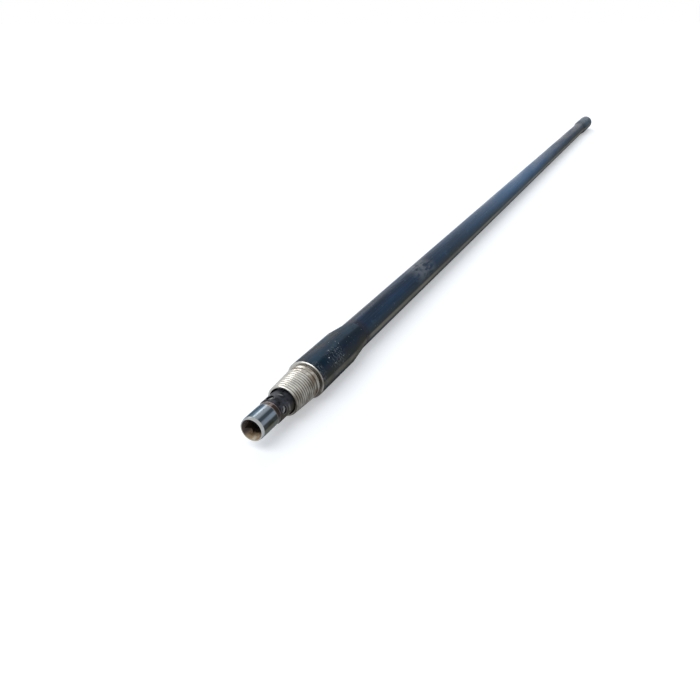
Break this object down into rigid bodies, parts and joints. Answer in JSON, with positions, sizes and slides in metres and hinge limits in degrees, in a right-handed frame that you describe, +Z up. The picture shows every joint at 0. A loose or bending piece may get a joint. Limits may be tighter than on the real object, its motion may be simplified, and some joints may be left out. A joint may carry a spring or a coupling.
{
  "type": "drill rod",
  "caption": "Dual drill rod: a steel pipe with a tapered threaded pin and box, round a free-turning drive rod with a hexagon socket at one end and a hexagon at the other.",
  "frame": {"origin": "on the rod's axis, in the plane of the shoulder face behind the threaded pin", "axes": "+X along the rod from the pin end to the box end, +Z up as the rod lies"},
  "size_m": [3.1927, 0.062, 0.062],
  "materials": {
    "pin_joint_steel": "dark blue-black oiled steel, machined bright on the pin",
    "tool_joint_steel": "dark blue-black oiled steel, scuffed",
    "tube_steel": "satin dark blue steel",
    "bright_steel": "turned and polished by use",
    "tinted_steel": "heat-tinted copper brown",
    "black_steel": "black with thread grease",
    "bar_steel": "rolled bar, lightly oiled",
    "spring_steel": "black spring steel",
    "bronze": "turned bearing bronze"
  },
  "bodies": {
    "outer_pipe": {"pin_tool_joint": "pin_joint_steel", "outer_tube": "tube_steel", "box_tool_joint": "tool_joint_steel"},
    "centralizers": {"pin_centralizer": "bronze", "box_centralizer": "bronze"},
    "drive_rod": {"drive_socket": "bright_steel", "weld_seam": "tinted_steel", "ported_collar": "black_steel", "inner_bar": "bar_steel", "hex_drive_end": "bright_steel", "pin_retaining_ring": "spring_steel", "box_retaining_ring": "spring_steel", "stop_collar": "bar_steel", "collar_spring_pin": "spring_steel", "shank_spring_pin": "spring_steel"}
  },
  "joints": [
    {"name": "end_play", "type": "slide", "parent": "outer_pipe", "child": "centralizers", "axis": [1, 0, 0], "range_m": [-0.004, 0.004]},
    {"name": "drive_turn", "type": "hinge", "parent": "centralizers", "child": "drive_rod", "pos_m": [0, 0, 0], "axis": [1, 0, 0], "continuous": true}
  ]
}
